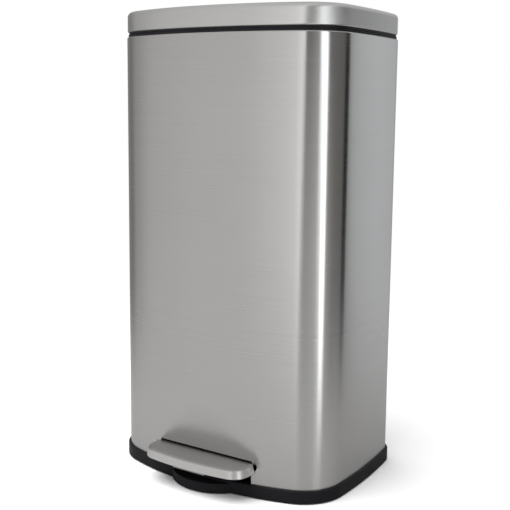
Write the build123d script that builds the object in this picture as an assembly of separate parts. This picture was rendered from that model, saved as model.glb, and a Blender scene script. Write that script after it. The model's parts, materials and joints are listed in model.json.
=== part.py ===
from build123d import *
from dataclasses import dataclass
import math
import os

# Pedal bin: steel body and lid, plastic base, inner bucket, and the pedal linkage that lifts the lid.
# Millimetres. +Z is up and the pedal faces -Y. Everything is drawn about the middle of the body, then
# moved along Y by body_y, so that the origin is the middle of the whole bin on the floor.

os.makedirs("parts", exist_ok=True)

# ---- Body ----
body_width = 343.3
body_depth = 246.3
total_height = 630.0
front_radius = 417.7      # bow of the front panel, seen from above
side_radius = 811.4
back_radius = 7368.0
front_corner = 61.6
back_corner = 31.5
sheet = 0.8               # steel of the body and the lid
gap = 0.1                 # between fixed pieces that touch on the real bin
running = 0.05            # radial clearance of a shaft in its hole
pilot = 0.05              # radial clearance round a screw in its thread

# ---- Lid and rim ----
lid_skirt = 27.5
lid_edge = 7.0            # round of the lid's top edge
lid_inset = 0.8           # how far the lid skirt stands inside the body's face
rolled_edge = 2.2         # outer radius where the steel is rolled inwards, at the lid's foot and the body's top
rolled_reach = 3.0        # how far the rolled edge goes inwards
liner_lip = 2.3           # black lip of the liner below the lid skirt
lid_gap = 0.7             # air between the liner and the rim
deck_thick = 3.0
lip_inset = 1.9           # how far the two black lips stand inside the steel above and below them
rim_skirt = 12.5
rim_wall = 2.0
liner_wall = 2.3
liner_plate = 2.5
liner_plate_up = 3.5      # height of the liner's plate above the lid's lower edge
liner_height = 17.5

bumper_head = 1.5         # rubber buttons that the lid lands on
bumper_stem = 1.0
bumper_in = 4.5           # from the body's face to the middle of a button
front_bumper_x = 40.0

# ---- Base ----
foot_stand = 1.5          # how far the rubber feet hold the base off the floor
foot_radius = 9.0
foot_sunk = 1.0
base_floor = 3.0
base_top = 17.8
base_proud = 3.3
groove_floor = 6.0
groove_slack = 0.2
base_wall = 3.0
tongue_half = 50.0
tongue_reach = 21.0       # in front of the body's face
tongue_top = 14.5
rib_thick = 2.0
rib_height = 4.5
rib_places = [58.0, 92.0, 126.0]
foot_out = 128.0
foot_from_front = 54.0
foot_from_back = 34.0

# ---- Recess and opening in the front panel ----
scoop_depth = 15.0
scoop_top = 118.0
scoop_past = 7.0          # the recess is this much wider than the pedal, each side
scoop_round = 11.0
scoop_low = 39.0
opening_top = 48.0
opening_short = 5.5       # the opening is this much narrower than the pedal, each side

# ---- Pedal ----
pedal_half = 81.0
pedal_back = 12.65        # back edge, behind the body's face
pedal_reach = 34.5        # foot of the skirt, in front of the body's face
pedal_lean = 2.0          # the skirt's foot stands this much further out than its top
pedal_side_lean = 2.0
pedal_low = 34.0
pedal_top = 45.5
pedal_bow = 400.0
pedal_corner = 24.0
pedal_sheet = 1.2
pedal_edge = 2.6
opening_slack = 1.0       # between the pedal and the panel round the opening
cheek_width = 10.0        # of the black frame behind the opening
frame_deep = 8.0
frame_over = 18.0         # how far the frame reaches above the opening
pedal_screw_half = 16.0
pedal_screw_in = 20.0     # from the pedal's front to its screws

# ---- Pedal lever and its pivot ----
pedal_swing = 10.0        # degrees
pivot_behind = 48.0       # behind the body's face
pivot_z = 22.0
pivot_radius = 3.0
lever_low = 30.0
lever_thick = 3.0
lever_half = 25.0
lever_tail_half = 12.0
lever_tail = 10.0         # past the push rod
ear_thick = 3.0
ear_radius = 8.0
bush_radius = 4.6
bush_flange = 6.2
bush_flange_thick = 1.5
boss_half = 7.0
boss_thick = 8.0
boss_inside = 33.0
clip_radius = 5.5
clip_thick = 1.0
clip_groove = 0.5

# ---- Lid hinge and crank ----
lid_open = 80.0           # degrees
hinge_behind = 1.6        # hinge axis, behind the back panel
hinge_up = 2.5            # hinge axis, above the lid's lower edge
hinge_pin_radius = 2.5
knuckle_radius = 5.0
knuckle_clear = 0.8
barrel_half = 31.5
knuckle_slack = 0.4
knuckle_wide = 14.0
notch_margin = 4.0
roller_radius = 5.0
roller_half = 5.2
crank_gap = 0.3
crank_thick = 3.0
crank_half_width = 4.0
crank_pin_radius = 1.5
slot_side = 12.0
bracket_thick = 2.9
bracket_behind = 4.0      # from the hinge axis to the back of the bracket's plate

# ---- Hinge housing ----
housing_half = 57.0
housing_deep = 10.5
housing_height = 44.0
housing_wall = 3.0
housing_round = 4.0
backing_half = 54.0
backing_high = 26.0
backing_thick = 2.0

# ---- Push rod, channel and damper ----
rod_radius = 3.0
rod_end_radius = 7.0
rod_foot_high = 17.0
rod_head_radius = 5.0     # narrower than the roller, so that it passes between the crank's arms
rod_head_high = 8.0
foot_ball = 6.0
lever_gap = 0.5           # play between the lever and the rod
roller_gap = 0.7          # play between the rod and the crank roller
guide_half = 8.0
guide_high = 10.0
channel_half = 30.0
channel_sheet = 1.0
channel_low = 80.0
channel_below_lid = 52.0
damper_x = 17.0
damper_radius = 7.0
damper_bore = 5.5
damper_high = 100.0
damper_cap = 3.0
damper_below_lid = 182.5
piston_rod = 2.0
yoke_high = 10.0
yoke_below = 42.0         # foot of the yoke, below the damper
rivet_radius = 1.5
rivet_head = 3.0
rivet_out = 6.0           # from the channel's side to its rivets

# ---- Bucket ----
bucket_side_gap = 12.0
bucket_front_gap = 12.0
bucket_back_corner = 30.0
bucket_wall = 2.0
bucket_taper = 12.0
bucket_rim = 5.0
rim_thick = 2.5
mouth_slack = 0.8
bucket_lever_clear = 6.0

# ---- Fasteners ----
screw_radius = 2.0
screw_head = 3.8
screw_head_high = 2.4
screw_hole = 2.3
post_radius = 4.8
lid_screw_half = 22.0
housing_screw_half = 40.0
housing_screw_up = (8.0, 22.0)

# ---- Worked out from the above ----
body_front = -body_depth / 2
body_back = body_depth / 2
lid_base = total_height - lid_skirt
liner_low = lid_base - liner_lip
deck_top = liner_low - lid_gap
shell_top = deck_top - deck_thick
base_low = foot_stand
floor_top = base_low + base_floor
recess_y = body_front + scoop_depth
scoop_half = pedal_half + scoop_past
opening_half = pedal_half - opening_short
pedal_front = body_front - pedal_reach
pedal_back_y = body_front + pedal_back
opening_edge_y = body_front + front_radius - math.sqrt(front_radius**2 - opening_half**2)
pedal_step_y = opening_edge_y - opening_slack
pivot_y = body_front + pivot_behind
lever_top = lever_low + lever_thick
hinge_y = body_back + hinge_behind
hinge_z = lid_base + hinge_up
damper_low = lid_base - damper_below_lid
half_open = math.radians(lid_open / 2)
swing = math.radians(pedal_swing)
# The crank swings equally below and above level, and the rod stands under the middle of its path.
rise_per_reach = math.tan(swing) / (2 * math.sin(half_open))
mean_reach = (1 + math.cos(half_open)) / 2
rod_y = (hinge_y + rise_per_reach * mean_reach * pivot_y) / (1 + rise_per_reach * mean_reach)
lever_reach = rod_y - pivot_y
rod_travel = lever_reach * math.tan(swing)
crank_radius = rod_travel / (2 * math.sin(half_open))
crank_y = hinge_y - crank_radius * math.cos(half_open)
crank_z = hinge_z - crank_radius * math.sin(half_open)
bumper_out = body_width / 2 - bumper_in
slot_front = hinge_y - crank_radius - roller_radius - 1.5
rod_top = crank_z - roller_radius - roller_gap
rod_bottom = lever_top + lever_gap
knuckle_start = barrel_half + knuckle_slack
knuckle_end = knuckle_start + knuckle_wide
notch_half = knuckle_end + notch_margin
housing_top = deck_top - gap
housing_low = housing_top - housing_height
back_reach = body_back + gap + housing_deep
body_y = (-pedal_front - back_reach) / 2
channel_top = lid_base - channel_below_lid
channel_front = rod_y - rod_end_radius - 0.5 - channel_sheet
bucket_back = slot_front - 3.0 - bucket_rim
bucket_low = lever_top + (bucket_back - pivot_y) * math.tan(swing) + bucket_lever_clear
screw_y_far = slot_front + 4.5
screw_y_near = screw_y_far + 12.5


@dataclass
class Plan:
    """Outline seen from above: bowed front, sides and back, joined by round corners."""

    half_width: float
    front: float
    back: float
    front_radius: float
    side_radius: float
    back_radius: float
    front_corner: float
    back_corner: float


body_plan = Plan(
    body_width / 2, body_front, body_back, front_radius, side_radius, back_radius, front_corner, back_corner
)
bucket_plan = Plan(
    body_width / 2 - bucket_side_gap,
    body_front + bucket_front_gap,
    bucket_back,
    front_radius - bucket_front_gap,
    side_radius - bucket_side_gap,
    back_radius,
    front_corner - bucket_front_gap,
    bucket_back_corner,
)


def corner_centre(end, end_radius, side, side_radius, towards):
    """Where two circles cross: towards is -1 for the crossing nearer the front, 1 for the back."""
    step = side - end
    along = (end_radius**2 - side_radius**2 + step.length**2) / (2 * step.length)
    out = math.sqrt(end_radius**2 - along**2)
    unit = step.normalized()
    across = Vector(-unit.Y, unit.X)
    found = [end + unit * along + across * out, end + unit * along - across * out]
    return max(found, key=lambda point: towards * point.Y)


def beyond(centre, point, distance):
    """The point at a distance from a centre, on the line through another point."""
    return centre + (point - centre).normalized() * distance


def outline(plan, grow=0.0):
    """Face of eight tangent arcs; grow moves the whole outline outwards."""
    front_c = Vector(0, plan.front + plan.front_radius)
    back_c = Vector(0, plan.back - plan.back_radius)
    side_c = Vector(plan.half_width - plan.side_radius, 0)
    corners = []
    for end_c, end_radius, corner, towards in (
        (front_c, plan.front_radius, plan.front_corner, -1),
        (back_c, plan.back_radius, plan.back_corner, 1),
    ):
        at = corner_centre(end_c, end_radius - corner, side_c, plan.side_radius - corner, towards)
        on_end = beyond(end_c, at, end_radius + grow)
        on_side = beyond(side_c, at, plan.side_radius + grow)
        half_way = beyond(at, (on_end + on_side) * 0.5, corner + grow)
        corners.append((on_end, half_way, on_side))
    (front_end, front_mid, front_side), (back_end, back_mid, back_side) = corners
    side_apex = Vector(plan.half_width + grow, 0)

    def left(point):
        return Vector(-point.X, point.Y)

    arcs = [
        ThreePointArc(left(front_end), Vector(0, plan.front - grow), front_end),
        ThreePointArc(front_end, front_mid, front_side),
        ThreePointArc(front_side, side_apex, back_side),
        ThreePointArc(back_side, back_mid, back_end),
        ThreePointArc(back_end, Vector(0, plan.back + grow), left(back_end)),
        ThreePointArc(left(back_end), left(back_mid), left(back_side)),
        ThreePointArc(left(back_side), left(side_apex), left(front_side)),
        ThreePointArc(left(front_side), left(front_mid), left(front_end)),
    ]
    return make_face(arcs)


def prism(plan, low, high, grow=0.0):
    return extrude(Pos(0, 0, low) * outline(plan, grow), high - low, dir=(0, 0, 1))


def tube(plan, low, high, outer, inner):
    """Upright wall that follows the outline, between two offsets of it."""
    return prism(plan, low, high, outer) - prism(plan, low - 1, high + 1, inner)


def block(x, y, z):
    """Box from three (low, high) pairs."""
    low = Vector(x[0], y[0], z[0])
    high = Vector(x[1], y[1], z[1])
    middle = (low + high) * 0.5
    size = high - low
    return Pos(middle) * Box(size.X, size.Y, size.Z)


def pin_x(y, z, radius, x):
    return Pos((x[0] + x[1]) / 2, y, z) * Rot(0, 90, 0) * Cylinder(radius, x[1] - x[0])


def pin_y(x, z, radius, y):
    return Pos(x, (y[0] + y[1]) / 2, z) * Rot(90, 0, 0) * Cylinder(radius, y[1] - y[0])


def pin_z(x, y, radius, z):
    return Pos(x, y, (z[0] + z[1]) / 2) * Cylinder(radius, z[1] - z[0])


def both_sides(shape):
    """The shape and its mirror image across the middle plane."""
    return shape + mirror(shape, Plane.YZ)


def screw_up(x, y, seat, tip):
    """Pan-head screw from below: its head under seat, its shank up to tip."""
    head = pin_z(x, y, screw_head, (seat - screw_head_high, seat))
    head = fillet(head.faces().sort_by(Axis.Z)[0].edges(), screw_head_high / 3)
    return head + pin_z(x, y, screw_radius - pilot, (seat - screw_head_high / 2, tip))


# ---- Base ----

foot_places = [(x, y) for x in (-foot_out, foot_out) for y in (body_front + foot_from_front, body_back - foot_from_back)]
cheek_screw = (scoop_half - cheek_width / 2, recess_y + 5.2)


def base_tongue():
    """Flat step below the pedal, part of the base."""
    root_y = body_front + base_wall
    tip = Vector(0, body_front - tongue_reach)
    shoulder_y = body_front + 1.5
    edge = [
        Polyline((-tongue_half, shoulder_y), (-tongue_half, root_y), (tongue_half, root_y), (tongue_half, shoulder_y)),
        ThreePointArc((tongue_half, shoulder_y), tip, (-tongue_half, shoulder_y)),
    ]
    return extrude(Pos(0, 0, base_low) * make_face(edge), tongue_top - base_low, dir=(0, 0, 1))


def base_tray():
    ring = prism(body_plan, base_low, base_top, base_proud)
    ring = fillet(ring.faces().sort_by(Axis.Z)[-1].edges(), 1.2)
    groove = tube(body_plan, groove_floor, base_top + 1, groove_slack, -sheet - groove_slack)
    hollow = prism(body_plan, floor_top, base_top + 1, -sheet - groove_slack - base_wall)
    tray = ring + base_tongue() - groove - hollow
    inside = prism(body_plan, base_low, base_top, -sheet - groove_slack - base_wall)
    for x in rib_places:
        rib = block((x, x + rib_thick), (pivot_y, body_back), (base_low, floor_top + rib_height))
        tray += both_sides(rib & inside)
    tray += both_sides(pivot_boss())
    tray -= pin_x(pivot_y, pivot_z, pivot_radius + running, (-boss_inside - boss_thick - 1, boss_inside + boss_thick + 1))
    for x, y in foot_places:
        tray -= pin_z(x, y, foot_radius + gap, (0, base_low + foot_sunk))
    tray -= both_sides(pin_z(*cheek_screw, screw_hole, (0, floor_top + 1)))
    tray -= both_sides(pin_z(*cheek_screw, screw_head + 0.5, (0, floor_top - 1.5)))
    return tray


def pivot_boss():
    x = (boss_inside, boss_inside + boss_thick)
    post = block(x, (pivot_y - boss_half, pivot_y + boss_half), (base_low, pivot_z))
    return post + pin_x(pivot_y, pivot_z, boss_half, x)


def base_feet():
    feet = Part()
    for x, y in foot_places:
        foot = pin_z(x, y, foot_radius, (0, base_low + foot_sunk - gap))
        feet += fillet(foot.faces().sort_by(Axis.Z)[0].edges(), 0.6)
    return feet


# ---- Steel body ----

def scoop_tool(grow=0.0):
    """Wedge that presses the recess into the front panel; grow gives the inner face of the sheet."""
    low = scoop_low - grow
    out = body_front - 60.0
    lean = body_front - 0.5 + grow
    side = [(recess_y + grow, low), (recess_y + grow, opening_top), (lean, scoop_top), (out, scoop_top), (out, low)]
    face = make_face(Polyline(*[(0, y, z) for y, z in side], close=True))
    wedge = extrude(face, scoop_half + grow, both=True, dir=(1, 0, 0))
    inner = [edge for edge in wedge.edges() if edge.center().Y > body_front - 5 and abs(edge.center().X) > 1]
    return fillet(inner, scoop_round + grow)


def front_opening():
    return block((-opening_half, opening_half), (body_front - 5, recess_y + 5), (0, opening_top))


housing_screws = [(side * housing_screw_half, housing_low + up) for side in (-1, 1) for up in housing_screw_up]


def body_shell():
    outside = prism(body_plan, groove_floor + gap, shell_top)
    outside = fillet(outside.faces().sort_by(Axis.Z)[-1].edges(), rolled_edge) - scoop_tool()
    inside = prism(body_plan, 0, shell_top - sheet, -sheet)
    inside = fillet(inside.faces().sort_by(Axis.Z)[-1].edges(), rolled_edge - sheet) - scoop_tool(sheet)
    shell = outside - inside - prism(body_plan, shell_top - 2, shell_top + 1, -rolled_reach) - front_opening()
    shell -= block((-slot_side, slot_side), (slot_front, body_back + 5), (crank_z, shell_top + 1))
    for x, z in housing_screws:
        shell -= pin_y(x, z, screw_hole, (body_back - 10, body_back + 5))
    return shell


def pedal_surround():
    """Black frame behind the opening, screwed to the base."""
    front = recess_y + sheet + 0.3
    y = (front, front + frame_deep)
    high = opening_top + frame_over
    header = block((-scoop_half, scoop_half), y, (opening_top - 1.5, high))
    cheek = block((scoop_half - cheek_width, scoop_half), y, (floor_top + gap, high))
    cheek -= pin_z(*cheek_screw, screw_radius, (0, floor_top + 12.0))
    return header + both_sides(cheek)


def surround_screws():
    screw = screw_up(*cheek_screw, floor_top - 1.5, floor_top + 11.0)
    return both_sides(screw)


# ---- Rim on the body ----

front_bumper_y = body_front + bumper_in + front_radius - math.sqrt(front_radius**2 - front_bumper_x**2)
bumper_spots = [(side * bumper_out, 0.0) for side in (-1, 1)]
bumper_spots += [(side * front_bumper_x, front_bumper_y) for side in (-1, 1)]


def top_rim():
    deck = prism(body_plan, shell_top + gap, deck_top, -lip_inset)
    skirt_face = -rolled_reach - 0.2
    skirt = tube(body_plan, shell_top - rim_skirt, deck_top, skirt_face, skirt_face - rim_wall)
    lip = tube(bucket_plan, shell_top - 6.0, deck_top, mouth_slack + rim_wall, mouth_slack)
    rim = deck + skirt + lip - prism(bucket_plan, 0, total_height, mouth_slack)
    rim -= block((-slot_side, slot_side), (slot_front, body_back + 5), (crank_z, total_height))
    for x, y in bumper_spots:
        rim -= pin_z(x, y, bumper_stem + running, (shell_top - 5, deck_top + 1))
    return rim


def lid_bumpers():
    """Rubber buttons on the rim that the lid lands on."""
    bumpers = Part()
    for x, y in bumper_spots:
        bumpers += pin_z(x, y, bumper_stem, (shell_top - 2, deck_top + gap / 2))
        bumpers += pin_z(x, y, bumper_head, (deck_top, liner_low - gap))
    return bumpers


# ---- Hinge ----

def hinge_housing():
    """Cover on the back of the body, with the two fixed knuckles."""
    y = (body_back - 2.0, back_reach)
    cover = block((-housing_half, housing_half), y, (housing_low, housing_top))
    upright = cover.edges().filter_by(Axis.Z).group_by(Axis.Y)[-1]
    cover = fillet(upright, housing_round)
    pocket = (housing_low + housing_wall, housing_top - 12.0)
    inner = block((-housing_half + housing_wall, housing_half - housing_wall), (y[0], back_reach - housing_wall), pocket)
    cover -= inner
    for x, z in housing_screws:
        cover += pin_y(x, z, post_radius, (body_back, back_reach - 1.0))
        cover -= pin_y(x, z, screw_radius, (body_back - 5, back_reach - 2.0))
    for side in (-1, 1):
        x = sorted((side * knuckle_start, side * knuckle_end))
        cover += block(x, (body_back, hinge_y + knuckle_radius), (housing_top - 8.0, hinge_z))
        cover += pin_x(hinge_y, hinge_z, knuckle_radius, x)
        over_rim = block(x, (body_back - 20, body_back + gap), (0, deck_top + gap))
        cover -= over_rim
    cover -= prism(body_plan, 0, deck_top + gap, gap)
    cover -= block((-slot_side, slot_side), (body_back - 5, body_back + 4.0), (housing_top - 6.0, total_height))
    return cover - pin_x(hinge_y, hinge_z, hinge_pin_radius, (-knuckle_end + 2.0, knuckle_end - 2.0))


def hinge_pin():
    return pin_x(hinge_y, hinge_z, hinge_pin_radius - running / 2, (-knuckle_end + 2.1, knuckle_end - 2.1))


def backing_plate():
    """Steel strip inside the body that the housing is screwed through."""
    strip = tube(body_plan, housing_low, housing_low + backing_high, -sheet - gap, -sheet - gap - backing_thick)
    reach = block((-backing_half, backing_half), (0, body_back), (0, total_height))
    strip = strip & reach
    strip -= block((-slot_side, slot_side), (0, body_back), (housing_low + 22.0, total_height))
    for x, z in housing_screws:
        strip -= pin_y(x, z, screw_hole, (body_back - 10, body_back + 5))
    return strip


def housing_screw_set():
    """Pan-head screws from inside the body into the hinge housing."""
    seat = body_back - sheet - gap - backing_thick - 0.3
    screws = Part()
    for x, z in housing_screws:
        screws += pin_y(x, z, screw_head, (seat - screw_head_high, seat))
        screws += pin_y(x, z, screw_radius - pilot, (seat - 1, back_reach - 3.0))
    return screws


# ---- Lid ----

def lid_notch(margin=0.0):
    """Space round the hinge, taken out of the lid's back."""
    high = hinge_z + knuckle_radius + knuckle_clear + margin
    return block((-notch_half, notch_half), (hinge_y - knuckle_radius - 8.0, body_back + 5), (0, high))


def lid_skin():
    outside = prism(body_plan, lid_base, total_height, -lid_inset)
    outside = fillet(outside.faces().sort_by(Axis.Z)[-1].edges(), lid_edge)
    outside = fillet(outside.faces().sort_by(Axis.Z)[0].edges(), rolled_edge)
    inside = prism(body_plan, lid_base + sheet, total_height - sheet, -lid_inset - sheet)
    inside = fillet(inside.faces().sort_by(Axis.Z)[-1].edges(), lid_edge - sheet)
    inside = fillet(inside.faces().sort_by(Axis.Z)[0].edges(), rolled_edge - sheet)
    mouth = prism(body_plan, lid_base - 1, lid_base + 2, -lid_inset - rolled_reach)
    return outside - inside - mouth - lid_notch()


lid_screws = [(x, y) for x in (-lid_screw_half, lid_screw_half) for y in (screw_y_far, screw_y_near)]


def lid_liner():
    """Plastic tray inside the lid: lip, wall and plate."""
    face = -lid_inset - rolled_reach - gap
    inner = face - liner_wall
    plate_low = lid_base + liner_plate_up
    lip = tube(body_plan, liner_low, lid_base - gap, -lid_inset - lip_inset, inner)
    wall = tube(body_plan, lid_base - 1.0, lid_base + liner_height, face, inner)
    plate = prism(body_plan, plate_low, plate_low + liner_plate, inner + 1.0)
    liner = lip + wall + plate
    for x, y in lid_screws:
        liner += pin_z(x, y, post_radius, (plate_low, plate_low + 10.0))
    for y in (body_front + 60.0, 0.0, body_back - 60.0):
        rib = block((-body_width / 2, body_width / 2), (y, y + rib_thick), (plate_low, plate_low + 9.0))
        liner += rib & prism(body_plan, 0, total_height, inner + 0.5)
    liner -= lid_notch(8.0)
    for x, y in lid_screws:
        liner -= pin_z(x, y, screw_radius, (plate_low - 1, plate_low + 9.0))
    return liner


def crank_arm(x):
    """Flat arm from the hinge axis to the roller pin."""
    start = Vector(hinge_y, hinge_z)
    end = Vector(crank_y, crank_z)
    angle = math.degrees(math.atan2(end.Y - start.Y, end.X - start.X))
    middle = (start + end) * 0.5
    bar = Pos(sum(x) / 2, middle.X, middle.Y) * Rot(angle, 0, 0)
    bar = bar * Box(crank_thick, crank_radius, 2 * crank_half_width)
    return bar + pin_x(crank_y, crank_z, crank_half_width, x)


def lid_bracket():
    """Moving half of the hinge: barrel, fixing plate and crank."""
    top = lid_base + liner_plate_up - gap
    plate_y = (slot_front - 1.0, hinge_y - bracket_behind)
    bracket = block((-barrel_half, barrel_half), plate_y, (top - bracket_thick, top))
    bracket += block((-barrel_half, barrel_half), (plate_y[1] - 5.0, hinge_y), (hinge_z - 3.0, hinge_z + 3.0))
    bracket += pin_x(hinge_y, hinge_z, knuckle_radius, (-barrel_half, barrel_half))
    arm_start = roller_half + crank_gap
    bracket += both_sides(crank_arm((arm_start, arm_start + crank_thick)))
    bracket -= pin_x(hinge_y, hinge_z, hinge_pin_radius + running, (-barrel_half - 1, barrel_half + 1))
    bracket -= pin_x(crank_y, crank_z, crank_pin_radius + pilot / 2, (-20, 20))
    for x, y in lid_screws:
        bracket -= pin_z(x, y, screw_hole, (top - 10, top + 1))
    return bracket


def crank_roller():
    roller = pin_x(crank_y, crank_z, roller_radius, (-roller_half, roller_half))
    return roller - pin_x(crank_y, crank_z, crank_pin_radius + running, (-20, 20))


def crank_pin():
    reach = roller_half + crank_gap + crank_thick + 1.0
    pin = pin_x(crank_y, crank_z, crank_pin_radius, (-reach, reach))
    head = pin_x(crank_y, crank_z, crank_pin_radius + 1.0, (reach - 0.8, reach + 0.6))
    return pin + both_sides(head)


def lid_screw_set():
    seat = lid_base + liner_plate_up - gap - bracket_thick
    screws = Part()
    for x, y in lid_screws:
        screws += screw_up(x, y, seat, seat + 11.0)
    return screws


# ---- Pedal ----

def pedal_plan(half, front, back, inset):
    """Pedal seen from above: bowed front, round front corners, and a step past each side of the opening."""
    side_y = front + pedal_bow - math.sqrt(pedal_bow**2 - half**2)
    inner = opening_half - opening_slack - inset
    step_y = pedal_step_y - inset
    right = [(half, side_y), (half, step_y), (inner, step_y), (inner, back)]
    left = [(-x, y) for x, y in reversed(right)]
    edge = [Polyline(*right, *left), ThreePointArc(left[-1], (0, front), right[0])]
    face = make_face(edge)
    front_points = face.vertices().filter_by(lambda point: point.Y < side_y + 0.5)
    return fillet(front_points, pedal_corner - inset)


def front_edges(form):
    """Edges of the pedal's top, from step to step round the front."""
    return form.faces().sort_by(Axis.Z)[-1].edges().filter_by(lambda edge: edge.center().Y < pedal_step_y - 2)


def pedal_form(inset, low, high, back):
    """Pedal body between two heights, drawn in by inset; its front and sides lean inwards as they rise."""
    faces = []
    for z in (low, high):
        rise = (z - pedal_low) / (pedal_top - pedal_low)
        half = pedal_half - inset - pedal_side_lean * rise
        front = pedal_front + inset + pedal_lean * rise
        faces.append(Pos(0, 0, z) * pedal_plan(half, front, back, inset))
    return loft(faces, ruled=True)


def pedal_cap():
    cap = fillet(front_edges(pedal_form(0.0, pedal_low, pedal_top, pedal_back_y)), pedal_edge)
    hollow = pedal_form(pedal_sheet, pedal_low - 1, pedal_top - pedal_sheet, pedal_back_y + 5)
    return cap - fillet(front_edges(hollow), pedal_edge - pedal_sheet)


pedal_screws = [(x, pedal_front + pedal_screw_in) for x in (-pedal_screw_half, pedal_screw_half)]


def pedal_core():
    """Plastic filling of the pedal, which the lever is screwed to."""
    inset = pedal_sheet + gap
    core = pedal_form(inset, lever_top + gap, pedal_top - pedal_sheet - gap, pedal_back_y)
    core = fillet(front_edges(core), pedal_edge - pedal_sheet)
    for x, y in pedal_screws:
        core -= pin_z(x, y, screw_radius, (0, pedal_top - 3.5))
    return core


def pedal_lever():
    """Steel bar from the pedal to the foot of the push rod, with two ears round the pivot."""
    front = pedal_front + 6.0
    back = rod_y + lever_tail
    neck = pivot_y + 25.0
    corners = [(lever_half, front), (lever_half, neck), (lever_tail_half, neck + 30.0), (lever_tail_half, back)]
    corners += [(-x, y) for x, y in reversed(corners)]
    bar = extrude(Pos(0, 0, lever_low) * make_face(Polyline(*corners, close=True)), lever_thick, dir=(0, 0, 1))
    x = (lever_half - ear_thick, lever_half)
    ear = block(x, (pivot_y - ear_radius, pivot_y + ear_radius), (pivot_z, lever_top))
    ear += pin_x(pivot_y, pivot_z, ear_radius, x)
    lever = bar + both_sides(ear)
    lever -= pin_x(pivot_y, pivot_z, bush_radius + gap / 2, (-lever_half - 1, lever_half + 1))
    for x, y in pedal_screws:
        lever -= pin_z(x, y, screw_hole, (0, pedal_top))
    return lever


def pedal_screw_set():
    screws = Part()
    for x, y in pedal_screws:
        screws += screw_up(x, y, lever_low, pedal_top - 4.0)
    return screws


def pivot_bushes():
    """Flanged nylon bushes in the lever's ears."""
    bush = pin_x(pivot_y, pivot_z, bush_radius, (lever_half - ear_thick - gap, lever_half + gap))
    bush += pin_x(pivot_y, pivot_z, bush_flange, (lever_half + gap, lever_half + gap + bush_flange_thick))
    return both_sides(bush - pin_x(pivot_y, pivot_z, pivot_radius + running, (0, boss_inside)))


clip_x = boss_inside + boss_thick + 0.4


def pivot_pin():
    pin = pin_x(pivot_y, pivot_z, pivot_radius, (-clip_x - 4.0, clip_x + 4.0))
    groove = pin_x(pivot_y, pivot_z, pivot_radius + 1, (clip_x - gap / 2, clip_x + clip_thick + gap / 2))
    groove -= pin_x(pivot_y, pivot_z, pivot_radius - clip_groove, (0, clip_x + 10))
    return pin - both_sides(groove)


def pivot_clips():
    """Spring clips that keep the pivot pin in its bosses."""
    clip = pin_x(pivot_y, pivot_z, clip_radius, (clip_x, clip_x + clip_thick))
    clip -= pin_x(pivot_y, pivot_z, pivot_radius - clip_groove + gap / 2, (0, clip_x + 5))
    clip -= block((0, clip_x + 5), (pivot_y - 1.8, pivot_y + 1.8), (pivot_z - 10, pivot_z))
    return both_sides(clip)


def pedal_buffers():
    """Rubber blocks on the base that stop the lever."""
    y = (pivot_y - 26.0, pivot_y - 14.0)
    under_lever = pivot_z + (lever_low - pivot_z) / math.cos(swing) - (pivot_y - y[0]) * math.tan(swing)
    return both_sides(block((6.0, 18.0), y, (floor_top, under_lever - 0.4)))


# ---- Push rod, its guides and the damper ----

def push_rod():
    return pin_z(0, rod_y, rod_radius, (rod_bottom + foot_ball, rod_top - 3.0))


def rod_foot():
    """Plastic foot with a ball end that rests on the lever."""
    ball_z = rod_bottom + foot_ball
    foot = Pos(0, rod_y, ball_z) * Sphere(foot_ball)
    foot += pin_z(0, rod_y, foot_ball, (ball_z, rod_bottom + rod_foot_high))
    return foot - pin_z(0, rod_y, rod_radius + pilot, (ball_z, rod_bottom + rod_foot_high + 1))


def rod_head():
    """Plastic pad that lifts the crank roller."""
    head = pin_z(0, rod_y, rod_head_radius, (rod_top - rod_head_high, rod_top))
    head = fillet(head.faces().sort_by(Axis.Z)[0].edges(), 1.0)
    return head - pin_z(0, rod_y, rod_radius + pilot, (0, rod_top - 2.9))


guide_places = [channel_low + 100.0, channel_top - 32.0]
rear_face = body_back - sheet - 0.3
rivet_heights = [channel_low + 20.0, (channel_low + channel_top) / 2, channel_top - 20.0]


def rod_guides():
    guides = Part()
    for z in guide_places:
        guide = block((-guide_half, guide_half), (rod_y - 6.0, rear_face), (z, z + guide_high))
        guides += guide - pin_z(0, rod_y, rod_radius + running, (z - 1, z + guide_high + 1))
    return guides


def rod_channel():
    """Steel channel on the back wall that keeps the bucket off the rod."""
    y = (channel_front, rear_face)
    z = (channel_low, channel_top)
    channel = block((-channel_half, channel_half), y, z)
    inner = channel_half - channel_sheet
    channel -= block((-inner, inner), (y[0] + channel_sheet, y[1] + 1), (z[0] - 1, z[1] + 1))
    flange = block((channel_half - channel_sheet, channel_half + 12.0), (rear_face - channel_sheet, rear_face), z)
    for z_hole in rivet_heights:
        flange -= pin_y(channel_half + rivet_out, z_hole, rivet_radius + gap, (rear_face - 5, rear_face + 1))
    return channel + both_sides(flange)


def channel_rivets():
    """Blind rivets that hold the channel to the back of the body."""
    rivets = Part()
    for z in rivet_heights:
        stem = pin_y(channel_half + rivet_out, z, rivet_radius, (rear_face - channel_sheet - 0.5, rear_face))
        seat = rear_face - channel_sheet - gap
        head = pin_y(channel_half + rivet_out, z, rivet_head, (seat - 1.0, seat))
        rivets += both_sides(stem + head)
    return rivets


def damper_cylinder():
    z = (damper_low, damper_low + damper_high)
    body = pin_z(damper_x, rod_y, damper_radius, z)
    body -= pin_z(damper_x, rod_y, damper_bore + running, (z[0] + damper_cap, z[1] - damper_cap))
    return body - pin_z(damper_x, rod_y, piston_rod + running, (z[0] - 1, z[0] + damper_cap + 1))


def damper_piston():
    low = damper_low - yoke_below
    rod = pin_z(damper_x, rod_y, piston_rod, (low, damper_low + damper_cap + 6.0))
    return rod + pin_z(damper_x, rod_y, damper_bore, (damper_low + damper_cap + 4.0, damper_low + damper_cap + 12.0))


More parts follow.
